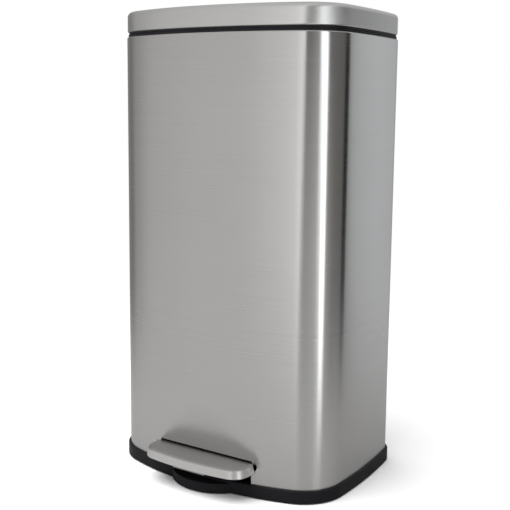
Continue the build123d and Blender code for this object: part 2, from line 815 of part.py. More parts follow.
def damper_yoke():
    """Clamp that ties the damper's piston rod to the push rod."""
    low = damper_low - yoke_below
    yoke = block((-rod_end_radius, damper_x + 5.0), (rod_y - 5.5, rod_y + 5.5), (low, low + yoke_high))
    yoke = fillet(yoke.edges().filter_by(Axis.Z), 3.0)
    yoke -= pin_z(0, rod_y, rod_radius + pilot, (low - 1, low + yoke_high + 1))
    return yoke - pin_z(damper_x, rod_y, piston_rod + pilot, (low - 1, low + yoke_high + 1))


def damper_clamp():
    """Saddle that holds the damper to the back wall."""
    z = damper_low + damper_high / 2
    side = damper_radius + 2.5
    clamp = block((damper_x - side, damper_x + side), (rod_y - 3.0, rear_face), (z - 6.0, z + 6.0))
    return clamp - pin_z(damper_x, rod_y, damper_radius + gap / 2, (z - 10, z + 10))


# ---- Bucket ----

def bucket_form(low, high, inset):
    """Tapered solid of the bucket between two heights."""
    faces = []
    for z in (low, high):
        share = (deck_top - z) / (deck_top - bucket_low)
        faces.append(Pos(0, 0, z) * outline(bucket_plan, -inset - bucket_taper * share))
    return loft(faces, ruled=True)


def inner_bucket():
    rim_low = deck_top + gap
    bucket = bucket_form(bucket_low, rim_low + rim_thick, 0.0)
    bucket += prism(bucket_plan, rim_low, rim_low + rim_thick, bucket_rim)
    return bucket - bucket_form(bucket_low + bucket_wall + 1.0, rim_low + rim_thick + 1, bucket_wall)


nodes = {
    "base_tray": base_tray,
    "base_feet": base_feet,
    "body_shell": body_shell,
    "pedal_surround": pedal_surround,
    "surround_screws": surround_screws,
    "top_rim": top_rim,
    "lid_bumpers": lid_bumpers,
    "hinge_housing": hinge_housing,
    "hinge_pin": hinge_pin,
    "backing_plate": backing_plate,
    "housing_screws": housing_screw_set,
    "lid_skin": lid_skin,
    "lid_liner": lid_liner,
    "lid_bracket": lid_bracket,
    "crank_roller": crank_roller,
    "crank_pin": crank_pin,
    "lid_screws": lid_screw_set,
    "pedal_cap": pedal_cap,
    "pedal_core": pedal_core,
    "pedal_lever": pedal_lever,
    "pedal_screws": pedal_screw_set,
    "pivot_bushes": pivot_bushes,
    "pivot_pin": pivot_pin,
    "pivot_clips": pivot_clips,
    "pedal_buffers": pedal_buffers,
    "push_rod": push_rod,
    "rod_foot": rod_foot,
    "rod_head": rod_head,
    "rod_guides": rod_guides,
    "rod_channel": rod_channel,
    "channel_rivets": channel_rivets,
    "damper_cylinder": damper_cylinder,
    "damper_piston": damper_piston,
    "damper_yoke": damper_yoke,
    "damper_clamp": damper_clamp,
    "inner_bucket": inner_bucket,
}

for name, make in nodes.items():
    export_step(Pos(0, body_y, 0) * make(), "parts/" + name + ".step")
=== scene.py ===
import json
import math

import bmesh
import bpy
from mathutils import Matrix, Vector


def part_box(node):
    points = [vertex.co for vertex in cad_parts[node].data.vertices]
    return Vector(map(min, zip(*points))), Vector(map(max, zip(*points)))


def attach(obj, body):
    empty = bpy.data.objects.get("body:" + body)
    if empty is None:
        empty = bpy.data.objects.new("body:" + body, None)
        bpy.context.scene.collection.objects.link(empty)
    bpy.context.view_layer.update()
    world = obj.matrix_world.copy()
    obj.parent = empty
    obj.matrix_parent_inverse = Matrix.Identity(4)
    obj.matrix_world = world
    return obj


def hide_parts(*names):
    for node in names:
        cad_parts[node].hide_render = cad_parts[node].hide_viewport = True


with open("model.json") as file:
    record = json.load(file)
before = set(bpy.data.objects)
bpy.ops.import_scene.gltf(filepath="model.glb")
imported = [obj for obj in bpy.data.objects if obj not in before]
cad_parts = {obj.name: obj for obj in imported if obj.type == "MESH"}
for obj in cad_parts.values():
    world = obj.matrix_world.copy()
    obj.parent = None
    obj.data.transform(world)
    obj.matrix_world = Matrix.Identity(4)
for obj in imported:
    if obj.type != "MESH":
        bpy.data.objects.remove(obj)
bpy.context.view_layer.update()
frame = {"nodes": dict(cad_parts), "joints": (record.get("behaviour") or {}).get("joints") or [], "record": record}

MM = 0.001

# ---- Places and sizes read from the frame ----

shell_low, shell_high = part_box("body_shell")
lid_low, lid_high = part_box("lid_skin")
pedal_low, pedal_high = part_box("pedal_cap")
pin_low, pin_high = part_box("hinge_pin")
joints = {joint["name"]: joint for joint in frame["joints"]}
hinge_at = Vector(joints["lid_hinge"]["pos_m"])

# ---- Body outline, seen from above ----

FRONT_BOW = 0.4177
SIDE_BOW = 0.8114
BACK_BOW = 7.368
FRONT_ROUND = 0.0616
BACK_ROUND = 0.0315
BODY_HALF = (shell_high.x - shell_low.x) / 2
BODY_MID_Y = (shell_low.y + shell_high.y) / 2
BODY_HALF_DEPTH = (shell_high.y - shell_low.y) / 2

# ---- Steel work ----

SHEET = 0.8 * MM
ROLLED_EDGE = 2.2 * MM
ROLLED_REACH = 2.8 * MM
LID_INSET = BODY_HALF - (lid_high.x - lid_low.x) / 2
LID_ROUND = 7.0 * MM
SCOOP_DEPTH = 9.0 * MM
SCOOP_TOP = 112.0 * MM
SCOOP_HALF = 81.0 * MM
SCOOP_WALL = 11.0 * MM
SCOOP_LOW = 39.0 * MM
SCOOP_FADE = 1.5            # power by which the pressing dies away upwards
SCOOP_SOFT = 0.9 * MM       # rounding where the pressed face meets the panel
SCOOP_TAIL = 0.75           # share of the height above which the pressing is eased to nothing
SCOOP_FOOT_DROP = 1.5 * MM
SCOOP_FOOT_RISE = 4.0 * MM
OPENING_TOP = 48.0 * MM
OPENING_HALF = 75.5 * MM


class Arc:
    """Stretch of the outline: the angle of its outward normal runs from start to end, 0 facing the pedal."""

    def __init__(self, centre, radius, start, end):
        self.centre = centre
        self.radius = radius
        self.start = start
        self.end = end

    def frame_at(self, angle):
        normal = Vector((math.sin(angle), -math.cos(angle)))
        return self.centre + normal * self.radius, normal


def heading(vector):
    return math.atan2(vector.x, -vector.y)


def corner_centre(end, end_radius, side, side_radius, towards):
    """Crossing of two circles: towards is -1 for the one nearer the pedal, 1 for the back."""
    step = side - end
    along = (end_radius**2 - side_radius**2 + step.length_squared) / (2 * step.length)
    out = math.sqrt(end_radius**2 - along**2)
    unit = step.normalized()
    across = Vector((-unit.y, unit.x))
    found = [end + unit * along + across * out, end + unit * along - across * out]
    return max(found, key=lambda point: towards * point.y)


def outline_arcs(half, front, back, front_bow, side_bow, front_round, back_round):
    """The eight arcs of an outline, anticlockwise from the left end of the front."""
    front_c = Vector((0, front + front_bow))
    back_c = Vector((0, back - BACK_BOW))
    side_c = Vector((half - side_bow, (front + back) / 2))
    fore = corner_centre(front_c, front_bow - front_round, side_c, side_bow - front_round, -1)
    aft = corner_centre(back_c, BACK_BOW - back_round, side_c, side_bow - back_round, 1)
    fore_start = heading(fore - front_c)
    fore_end = heading(fore - side_c)
    aft_start = heading(aft - side_c)
    aft_end = heading(aft - back_c)
    right = [
        Arc(fore, front_round, fore_start, fore_end),
        Arc(side_c, side_bow, fore_end, aft_start),
        Arc(aft, back_round, aft_start, aft_end),
    ]
    turn = 2 * math.pi
    left = [
        Arc(Vector((-arc.centre.x, arc.centre.y)), arc.radius, turn - arc.end, turn - arc.start)
        for arc in reversed(right)
    ]
    front_arc = Arc(front_c, front_bow, -fore_start, fore_start)
    back_arc = Arc(back_c, BACK_BOW, aft_end, turn - aft_end)
    return [front_arc, *right, back_arc, *left]


def frames_along(arcs, steps, breaks=()):
    """Points and outward normals along the outline; breaks are extra x places on the front and the back."""
    frames = []
    for arc, count in zip(arcs, steps):
        angles = [arc.start + (arc.end - arc.start) * i / count for i in range(count)]
        for x in breaks:
            if arc.centre.x == 0:
                offset = math.asin(x / arc.radius)
                angle = offset if arc.start < 0 else math.pi - offset
                near = min(angles[1:], key=lambda other: abs(other - angle))
                angles[angles.index(near)] = angle
        frames += [arc.frame_at(angle) for angle in sorted(angles)]
    return frames


BODY_ARCS = outline_arcs(
    BODY_HALF, shell_low.y, shell_high.y, FRONT_BOW, SIDE_BOW, FRONT_ROUND, BACK_ROUND
)
STEPS = (96, 26, 22, 16, 60, 16, 22, 26)     # points on each arc of the outline
NOTCH_SIDE = 6.0 * MM       # room beside the hinge pin's ends
NOTCH_HALF = pin_high.x + NOTCH_SIDE
SMOOTH_FRAMES = frames_along(BODY_ARCS, STEPS, (-NOTCH_HALF, NOTCH_HALF))


# ---- Mesh helpers ----

def add_piece(name, verts, faces, uvs=None):
    """Mesh object from points and faces; uvs holds one (u, v) for each point."""
    mesh = bpy.data.meshes.new(name)
    mesh.from_pydata([tuple(v) for v in verts], [], faces)
    if uvs:
        layer = mesh.uv_layers.new(name="grain")
        for loop in mesh.loops:
            layer.data[loop.index].uv = uvs[loop.vertex_index]
    mesh.validate()
    piece = bpy.data.objects.new(name, mesh)
    bpy.context.scene.collection.objects.link(piece)
    return piece


def smooth(piece, degrees=35.0):
    """Smooth shading that keeps edges sharper than the angle."""
    limit = math.radians(degrees)
    work = bmesh.new()
    work.from_mesh(piece.data)
    for face in work.faces:
        face.smooth = True
    for edge in work.edges:
        edge.smooth = not (edge.is_manifold and edge.calc_face_angle(0) > limit)
    work.to_mesh(piece.data)
    work.free()


def bake(piece):
    """Replaces the piece's mesh by the result of its modifiers, and takes them off."""
    depsgraph = bpy.context.evaluated_depsgraph_get()
    made = bpy.data.meshes.new_from_object(piece.evaluated_get(depsgraph))
    piece.modifiers.clear()
    piece.data = made
    made.name = piece.name


def thicken(piece, thickness, offset=-1.0):
    solid = piece.modifiers.new("sheet", "SOLIDIFY")
    solid.thickness = thickness
    solid.offset = offset
    solid.use_even_offset = True
    bake(piece)


def quad_rings(count, size, loop=False, closed_rings=True):
    """Faces between rings of points; loop also joins the last ring to the first."""
    faces = []
    for ring in range(count if loop else count - 1):
        above = (ring + 1) % count
        for i in range(size if closed_rings else size - 1):
            j = (i + 1) % size
            faces.append((ring * size + i, ring * size + j, above * size + j, above * size + i))
    return faces


def carried(name, profile, frames, loop=True, cap=False):
    """Skin made by carrying a profile of (outwards, height) points round an outline."""
    verts = []
    uvs = []
    walked = 0.0
    for k, (out, z) in enumerate(profile):
        if k:
            walked += math.dist(profile[k - 1], (out, z))
        around = 0.0
        for i, (point, normal) in enumerate(frames):
            at = point + normal * out
            if i:
                around += (point - frames[i - 1][0]).length
            verts.append((at.x, at.y, z))
            uvs.append((walked, around))
    size = len(frames)
    faces = quad_rings(len(profile), size, loop)
    if cap:
        faces += cap_strips(verts, (len(profile) - 1) * size, size)
    return add_piece(name, verts, faces, uvs)


MIDDLE = 1e-7               # points nearer the middle plane than this lie on it


def cap_strips(verts, start, size):
    """Closes a ring that is symmetric left and right with strips across it."""
    right = [i for i in range(start, start + size) if verts[i][0] > MIDDLE]
    left_of = {}
    for i in right:
        x, y, z = verts[i]
        ring = range(start, start + size)
        left_of[i] = min(ring, key=lambda j: abs(verts[j][0] + x) + abs(verts[j][1] - y))
    faces = []
    for a, b in zip(right, right[1:]):
        faces.append((left_of[a], a, b, left_of[b]))
    return faces


def arc_points(centre, radius, start, end, count):
    """Points of a round in a profile; angles in degrees, 0 outwards and 90 up."""
    points = []
    for i in range(count + 1):
        angle = math.radians(start + (end - start) * i / count)
        points.append((centre[0] + radius * math.cos(angle), centre[1] + radius * math.sin(angle)))
    return points


# ---- Shader helpers ----

class Graph:
    """Adds shader nodes and wires to one tree."""

    def __init__(self, tree):
        self.tree = tree

    def add(self, kind, inputs=None, **settings):
        node = self.tree.nodes.new(kind)
        for key, value in settings.items():
            setattr(node, key, value)
        for key, value in (inputs or {}).items():
            if isinstance(value, bpy.types.NodeSocket):
                self.tree.links.new(value, node.inputs[key])
            else:
                node.inputs[key].default_value = value
        return node

    def noise(self, where, scale, detail=3.0, roughness=0.55):
        inputs = {"Vector": where, "Scale": scale, "Detail": detail, "Roughness": roughness}
        return self.add("ShaderNodeTexNoise", inputs).outputs["Fac"]

    def stretched(self, where, scale):
        return self.add("ShaderNodeMapping", {"Vector": where, "Scale": scale}).outputs["Vector"]

    def ranged(self, value, low, high, to_low, to_high):
        inputs = {"Value": value, "From Min": low, "From Max": high, "To Min": to_low, "To Max": to_high}
        return self.add("ShaderNodeMapRange", inputs).outputs["Result"]

    def math(self, operation, a, b=0.0):
        node = self.add("ShaderNodeMath", {0: a, 1: b}, operation=operation)
        return node.outputs["Value"]

    def mixed(self, share, a, b):
        node = self.add("ShaderNodeMix", data_type="RGBA")
        for socket, value in ((node.inputs[0], share), (node.inputs[6], a), (node.inputs[7], b)):
            if isinstance(value, bpy.types.NodeSocket):
                self.tree.links.new(value, socket)
            else:
                socket.default_value = value
        return node.outputs[2]

    def bump(self, height, strength, distance):
        inputs = {"Height": height, "Strength": strength, "Distance": distance}
        return self.add("ShaderNodeBump", inputs).outputs["Normal"]


def start_material(name, **shader_values):
    """Material with a Principled shader; returns it with its graph, shader and object coordinates."""
    material = bpy.data.materials.new(name)
    material.use_nodes = True
    tree = material.node_tree
    tree.nodes.clear()
    graph = Graph(tree)
    shader = graph.add("ShaderNodeBsdfPrincipled", shader_values)
    output = graph.add("ShaderNodeOutputMaterial")
    tree.links.new(shader.outputs["BSDF"], output.inputs["Surface"])
    where = graph.add("ShaderNodeTexCoord").outputs["Object"]
    return material, graph, shader, where


def wire(graph, shader, **sockets):
    for name, value in sockets.items():
        graph.tree.links.new(value, shader.inputs[name.replace("_", " ")])


def brushed_steel(name, grain, dark, light, rough=(0.2, 0.27), stretch=0.88, by_sheet=False):
    """Stainless sheet; grain is the pattern's scale along each axis, low along the brushing.

    by_sheet lays the pattern on the flat sheet that the piece is pressed from, instead of on its place.
    """
    material, graph, shader, where = start_material(name, Metallic=1.0, Anisotropic=stretch)
    if by_sheet:
        where = graph.add("ShaderNodeUVMap", uv_map="grain").outputs["UV"]
    lines = graph.noise(graph.stretched(where, grain), 1.0, 5.0, 0.65)
    long_lines = graph.noise(graph.stretched(where, [g * 0.31 for g in grain]), 1.0, 2.0, 0.5)
    clouds = graph.noise(where, 7.0, 2.0, 0.5)
    smudges = graph.noise(where, 26.0, 2.0, 0.5)
    streak = graph.math("ADD", graph.math("MULTIPLY", lines, 0.6), graph.math("MULTIPLY", long_lines, 0.4))
    tone = graph.math("ADD", graph.math("MULTIPLY", streak, 0.75), graph.math("MULTIPLY", clouds, 0.25))
    colour = graph.mixed(graph.ranged(tone, 0.3, 0.7, 0.0, 1.0), dark, light)
    polish = graph.ranged(streak, 0.3, 0.7, rough[0], rough[1])
    worn = graph.math("ADD", polish, graph.ranged(smudges, 0.5, 0.8, 0.0, 0.03))
    grain_bump = graph.bump(streak, 0.012, 0.00006)
    tangent = graph.add("ShaderNodeTangent", direction_type="UV_MAP", uv_map="grain").outputs["Tangent"]
    wire(graph, shader, Base_Color=colour, Roughness=worn, Normal=grain_bump, Tangent=tangent)
    return material


def moulded_plastic(name, dark, light, rough, grain=900.0, bump=0.25, sheen=0.3):
    """Moulded plastic with a fine spark-eroded grain and slightly polished patches."""
    material, graph, shader, where = start_material(name, **{"Specular IOR Level": sheen, "IOR": 1.49})
    grain_noise = graph.noise(where, grain, 2.0, 0.6)
    patches = graph.noise(where, 22.0, 4.0, 0.65)
    rubs = graph.noise(graph.stretched(where, (60.0, 60.0, 8.0)), 1.0, 3.0, 0.6)
    colour = graph.mixed(graph.ranged(patches, 0.3, 0.75, 0.0, 1.0), dark, light)
    shine = graph.math("ADD", graph.ranged(patches, 0.3, 0.75, rough - 0.05, rough + 0.07),
                       graph.ranged(rubs, 0.58, 0.8, 0.0, -0.1))
    wire(graph, shader, Base_Color=colour, Roughness=shine, Normal=graph.bump(grain_noise, bump, 0.00006))
    return material


def plated_steel(name, dark, light, rough):
    """Zinc-plated steel: pale spangle, fine rolling lines, dull spots."""
    material, graph, shader, where = start_material(name, Metallic=1.0)
    cells = graph.add("ShaderNodeTexVoronoi", {"Vector": where, "Scale": 160.0}).outputs["Distance"]
    lines = graph.noise(graph.stretched(where, (700.0, 90.0, 90.0)), 1.0, 3.0, 0.6)
    tone = graph.math("ADD", graph.math("MULTIPLY", cells, 0.5), graph.math("MULTIPLY", lines, 0.6))
    colour = graph.mixed(graph.ranged(tone, 0.2, 0.8, 0.0, 1.0), dark, light)
    polish = graph.ranged(tone, 0.2, 0.8, rough, rough + 0.15)
    wire(graph, shader, Base_Color=colour, Roughness=polish, Normal=graph.bump(lines, 0.08, 0.0001))
    return material


def rubber(name):
    material, graph, shader, where = start_material(name, **{"Specular IOR Level": 0.2})
    dust = graph.noise(where, 60.0, 4.0, 0.7)
    pores = graph.noise(where, 1400.0, 2.0, 0.6)
    clean = (0.012, 0.012, 0.012, 1)
    dusty = (0.04, 0.038, 0.036, 1)
    colour = graph.mixed(graph.ranged(dust, 0.4, 0.8, 0.0, 1.0), clean, dusty)
    wire(graph, shader, Base_Color=colour, Roughness=graph.ranged(dust, 0.3, 0.8, 0.7, 0.9),
         Normal=graph.bump(pores, 0.3, 0.0001))
    return material


STEEL_DARK = (0.57, 0.562, 0.55, 1)
STEEL_LIGHT = (0.64, 0.632, 0.62, 1)
# Lid: the body's steel in a lighter tone, a painted brighter reflection; its grain and roughness are its own
LID_DARK = (0.66, 0.655, 0.645, 1)
LID_LIGHT = (0.78, 0.775, 0.765, 1)
# Pedal skirt: the body's steel in a lighter tone, a painted brighter reflection
SKIRT_DARK = (0.68, 0.67, 0.65, 1)
SKIRT_LIGHT = (0.76, 0.75, 0.73, 1)
# Pedal tread: the pedal's steel in a darker tone, painted shade for the darker reflection on its up-facing top
TREAD_PAINTED_SHADE_DARK = (0.5, 0.497, 0.49, 1)
TREAD_PAINTED_SHADE_LIGHT = (0.6, 0.597, 0.59, 1)
BLACK_DARK = (0.008, 0.0078, 0.0095, 1)
BLACK_LIGHT = (0.013, 0.0128, 0.015, 1)
LINER_DARK = (0.009, 0.009, 0.01, 1)
LINER_LIGHT = (0.016, 0.016, 0.018, 1)
BUCKET_DARK = (0.045, 0.046, 0.048, 1)
BUCKET_LIGHT = (0.075, 0.076, 0.08, 1)
NYLON_DARK = (0.6, 0.585, 0.52, 1)
NYLON_LIGHT = (0.75, 0.74, 0.69, 1)
BODY_GRAIN = (6.0, 6.0, 2300.0)     # fine across the brushing, long round the body
LID_GRAIN = (2300.0, 6.0, 1.0)
PEDAL_GRAIN = (1600.0, 9.0, 1.0)

body_steel = brushed_steel("steel_brushed_round_the_body", BODY_GRAIN, STEEL_DARK, STEEL_LIGHT)
lid_steel = brushed_steel(
    "steel_brushed_across_the_lid_painted_brighter", LID_GRAIN, LID_DARK, LID_LIGHT, (0.3, 0.38), 0.85, True
)
skirt_steel_painted_brighter = brushed_steel(
    "steel_pedal_skirt_painted_brighter", PEDAL_GRAIN, SKIRT_DARK, SKIRT_LIGHT, (0.32, 0.4), 0.35, True
)
tread_steel_painted_shade = brushed_steel("steel_tread_painted_shade", PEDAL_GRAIN, TREAD_PAINTED_SHADE_DARK, TREAD_PAINTED_SHADE_LIGHT, (0.34, 0.44), 0.4, True)
black_plastic = moulded_plastic("black_plastic", BLACK_DARK, BLACK_LIGHT, 0.5, 900.0, 0.12, 0.16)
liner_plastic = moulded_plastic("liner_plastic", LINER_DARK, LINER_LIGHT, 0.46, 700.0, 0.12, 0.2)
bucket_plastic = moulded_plastic("bucket_plastic", BUCKET_DARK, BUCKET_LIGHT, 0.4, 420.0)
nylon = moulded_plastic("nylon", NYLON_DARK, NYLON_LIGHT, 0.38, 600.0, 0.1)
zinc = plated_steel("zinc_plated_steel", (0.4, 0.41, 0.43, 1), (0.66, 0.67, 0.68, 1), 0.3)
bright_zinc = plated_steel("bright_screw_steel", (0.5, 0.5, 0.51, 1), (0.78, 0.78, 0.79, 1), 0.18)
black_rubber = rubber("black_rubber")


def dress(piece, material, body, slot, *nodes):
    """Gives a piece its material and the body it moves with, and hides the nodes it stands for; slot is not used.
    """
    if material:
        piece.data.materials.clear()
        piece.data.materials.append(material)
    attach(piece, body)
    if nodes:
        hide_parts(*nodes)
    return piece


# ---- Body shell ----

STEEPEST = 60.0             # keeps the exponential within range
FOOT_ROWS = 16
PRESSED_ROWS = 40
STRAIGHT_ROWS = 14
FRONT_STEPS = 190
WALL_STEPS = 7
FACES_FRONT = -0.8          # a normal below this belongs to the front panel
FRONT_ZONE = 60.0 * MM      # how far back from the front the opening reaches
# Slits cut through the steel beside the opening, so the black surround shows through as painted shade at the foot
# of the pressed recess
SHADE_SLIT_UP = 2.0 * MM        # middle of the slits beside the opening, above the recess's foot
SHADE_SLIT_HALF = 3.2 * MM
SHADE_SLIT_PAST = 1.0 * MM


def scoop_push(x, z):
    """How far the front panel is pressed in above the pedal, at a place across and up."""
    share = min(max((z - OPENING_TOP) / (SCOOP_TOP - OPENING_TOP), 0.0), 1.0)
    pressed = SCOOP_DEPTH * (1 - share) ** SCOOP_FADE
    bow = x * x / (2 * FRONT_BOW)
    over = min((pressed - bow) / SCOOP_SOFT, STEEPEST)
    depth = SCOOP_SOFT * math.log1p(math.exp(over))
    depth *= 1 - smooth_step((share - SCOOP_TAIL) / (1 - SCOOP_TAIL))
    wall = 1 - smooth_step((abs(x) - SCOOP_HALF) / SCOOP_WALL)
    foot = smooth_step((z - SCOOP_LOW + SCOOP_FOOT_DROP) / SCOOP_FOOT_RISE)
    return depth * wall * foot


def smooth_step(t):
    """Eased step from 0 to 1."""
    t = min(max(t, 0.0), 1.0)
    return t * t * (3 - 2 * t)


def shell_rows():
    """Heights of the shell's rows, close together where the panel is pressed."""
    foot = SCOOP_LOW - 4.0 * MM
    rows = [shell_low.z, 12 * MM, 20 * MM, 28 * MM]
    rows += [foot + (OPENING_TOP - foot) * i / FOOT_ROWS for i in range(FOOT_ROWS + 1)]
    pressed = SCOOP_TOP - OPENING_TOP
    rows += [OPENING_TOP + pressed * i / PRESSED_ROWS for i in range(1, PRESSED_ROWS + 1)]
    top = shell_high.z - ROLLED_EDGE
    rows += [SCOOP_TOP + (top - SCOOP_TOP) * i / STRAIGHT_ROWS for i in range(1, STRAIGHT_ROWS)]
    return rows


def body_shell():
    walls = [OPENING_HALF] + [SCOOP_HALF + SCOOP_WALL * i / WALL_STEPS for i in range(WALL_STEPS + 1)]
    breaks = [side * x for x in walls for side in (-1, 1)]
    frames = frames_along(BODY_ARCS, (FRONT_STEPS,) + STEPS[1:], breaks)
    size = len(frames)
    verts = []
    uvs = []
    profile = [(0.0, z) for z in shell_rows()]
    round_centre = (-ROLLED_EDGE, shell_high.z - ROLLED_EDGE)
    profile += arc_points(round_centre, ROLLED_EDGE, 0, 90, 8)
    profile.append((-ROLLED_REACH, shell_high.z))
    for out, z in profile:
        around = 0.0
        for i, (point, normal) in enumerate(frames):
            if i:
                around += (point - frames[i - 1][0]).length
            at = point + normal * out
            if normal.y < FACES_FRONT:
                at.y += scoop_push(at.x, z)
            verts.append((at.x, at.y, z))
            uvs.append((z, around))
    faces = []
    for face in quad_rings(len(profile), size):
        middle = sum((Vector(verts[i]) for i in face), Vector()) / 4
        in_front = middle.y < shell_low.y + FRONT_ZONE
        opening = middle.z < OPENING_TOP and abs(middle.x) < OPENING_HALF
        # Slits where the black surround stands in for the shade at the recess's foot
        level = abs(middle.z - SCOOP_LOW - SHADE_SLIT_UP) < SHADE_SLIT_HALF
        beside = level and abs(middle.x) < SCOOP_HALF + SHADE_SLIT_PAST
        if not (in_front and (opening or beside)):
            faces.append(face)
    shell = add_piece("body_shell_skin", verts, faces, uvs)
    thicken(shell, SHEET)
    smooth(shell)
    return shell


# ---- Lid ----

def lay_flat(skin, profile):
    """Maps the pressed lid onto its flat sheet, brushed from left to right before it was pressed."""
    places = []
    for k, (out, _) in enumerate(profile):
        below = sum(math.dist(profile[i], profile[i + 1]) for i in range(k, len(profile) - 1))
        for point, normal in SMOOTH_FRAMES:
            flat = point + normal * (profile[-1][0] + below)
            places.append((flat.y, flat.x))
    for loop in skin.data.loops:
        skin.data.uv_layers["grain"].data[loop.index].uv = places[loop.vertex_index]


NOTCH_TOP = hinge_at.z + 5.8 * MM
NOTCH_DEEP = 8.0 * MM


def lid_skin():
    low = lid_low.z
    foot = (-LID_INSET - ROLLED_EDGE, low + ROLLED_EDGE)
    crown = (-LID_INSET - LID_ROUND, lid_high.z - LID_ROUND)
    profile = [(-LID_INSET - ROLLED_REACH, low)]
    profile += arc_points(foot, ROLLED_EDGE, -90, 0, 8)
    profile += [(-LID_INSET, NOTCH_TOP)]
    profile += arc_points(crown, LID_ROUND, 0, 90, 14)
    profile += [(-LID_INSET - LID_ROUND - step * MM, lid_high.z) for step in (2.0, 8.0, 20.0)]
    skin = carried("lid_skin_sheet", profile, SMOOTH_FRAMES, loop=False, cap=True)
    lay_flat(skin, profile)
    work = bmesh.new()
    work.from_mesh(skin.data)
    gone = []
    for face in work.faces:
        middle = face.calc_center_median()
        behind = middle.y > BODY_MID_Y + BODY_HALF_DEPTH - NOTCH_DEEP
        if behind and middle.z < NOTCH_TOP and abs(middle.x) < NOTCH_HALF:
            gone.append(face)
    bmesh.ops.delete(work, geom=gone, context="FACES")
    work.to_mesh(skin.data)
    work.free()
    thicken(skin, SHEET)
    smooth(skin)
    return skin


# ---- Pedal ----

PEDAL_HALF = (pedal_high.x - pedal_low.x) / 2
PEDAL_BOW = 0.4
PEDAL_CORNER = 0.024
PEDAL_LEAN = 2.0 * MM
PEDAL_ROUND = 2.6 * MM
PEDAL_SHEET = 1.2 * MM
PEDAL_STEP = 1.0 * MM       # gap between the pedal and the panel beside the opening
FACES_UP = 0.6              # a normal above this belongs to the tread
PEDAL_BORDER = ((0.8, 0.0), (1.5, 0.6), (2.3, 0.1), (3.0, 0.6), (4.2, 0.5))   # inwards, down, in millimetres


def panel_y(x):
    """Front face of the body at a place across."""
    return shell_low.y + FRONT_BOW - math.sqrt(FRONT_BOW**2 - x * x)


def pedal_path(inset):
    """Edge of the pedal seen from above, drawn in by inset, from its back's left end to the right one."""
    half = PEDAL_HALF - inset
    corner = PEDAL_CORNER - inset
    bow = PEDAL_BOW - inset
    centre_y = pedal_low.y + PEDAL_BOW
    turn_x = half - corner
    turn_y = centre_y - math.sqrt((bow - corner) ** 2 - turn_x**2)
    start = math.asin(turn_x / (bow - corner))
    right = []
    bow_steps = 24
    for i in range(bow_steps):
        angle = start * i / bow_steps
        right.append((bow * math.sin(angle), centre_y - bow * math.cos(angle)))
    corner_steps = 16
    for i in range(corner_steps + 1):
        angle = start + (math.pi / 2 - start) * i / corner_steps
        right.append((turn_x + corner * math.sin(angle), turn_y - corner * math.cos(angle)))
    step_y = panel_y(OPENING_HALF) - PEDAL_STEP
    inner = OPENING_HALF - PEDAL_STEP
    side_y = right[-1][1]
    right += [(half, side_y + (step_y - side_y) * i / 4) for i in range(1, 5)]
    right += [(inner, step_y + PEDAL_STEP / 2), (inner, pedal_high.y)]
    return [(-x, y) for x, y in reversed(right[1:])] + right


def pedal_cap():
    """Pressed steel cap: steep skirt, round top edge, flat tread with a shallow pressed border."""
    height = pedal_high.z - pedal_low.z
    foot_of_round = height - PEDAL_ROUND
    rings = [(0.3 * MM, 0.0), (0.0, 0.4 * MM)]
    lean = PEDAL_LEAN * foot_of_round / height
    rings += [(lean * share, foot_of_round * share) for share in (0.35, 0.7, 1.0)]
    for i in range(1, 9):
        angle = math.pi / 2 * i / 8
        inwards = lean + PEDAL_ROUND * (1 - math.cos(angle))
        rings.append((inwards, foot_of_round + PEDAL_ROUND * math.sin(angle)))
    edge_in = rings[-1][0]
    rings += [(edge_in + inwards * MM, height - down * MM) for inwards, down in PEDAL_BORDER]
    verts = []
    uvs = []
    walked = 0.0
    for k, (inset, z) in enumerate(rings):
        if k:
            walked += math.dist(rings[k - 1], (inset, z))
        path = pedal_path(inset)
        for x, y in path:
            verts.append((x, y, pedal_low.z + z))
            uvs.append((walked, x))
    size = len(path)
    faces = quad_rings(len(rings), size, closed_rings=False)
    last = (len(rings) - 1) * size
    for i in range((size - 1) // 2):
        a, b = last + i, last + i + 1
        c, d = last + size - 2 - i, last + size - 1 - i
        faces.append((a, b, c, d) if b < c else (a, b, d))
    cap = add_piece("pedal_cap_sheet", verts, faces, uvs)
    work = bmesh.new()
    work.from_mesh(cap.data)
    bmesh.ops.remove_doubles(work, verts=work.verts, dist=1e-7)
    bmesh.ops.recalc_face_normals(work, faces=work.faces)
    tread = max(work.faces, key=lambda face: face.calc_area())
    if tread.normal.z < 0:
        bmesh.ops.reverse_faces(work, faces=work.faces)
    layer = work.loops.layers.uv.active
    for face in work.faces:
        # Up-facing faces take the darker copy of the steel: painted shade on the tread
        if face.normal.z > FACES_UP:
            face.material_index = 1
            for loop in face.loops:
                loop[layer].uv = (loop.vert.co.y, loop.vert.co.x)
    cap.data.materials.append(skirt_steel_painted_brighter)
    cap.data.materials.append(tread_steel_painted_shade)
    work.to_mesh(cap.data)
    work.free()
    thicken(cap, PEDAL_SHEET)
    smooth(cap)
    return cap


dress(body_shell(), body_steel, "bin", "brushed_steel", "body_shell")
dress(lid_skin(), lid_steel, "lid", "brushed_steel", "lid_skin")
dress(pedal_cap(), None, "pedal", "brushed_steel", "pedal_cap")

# ---- Repeated pieces, each made by a tree of geometry nodes ----

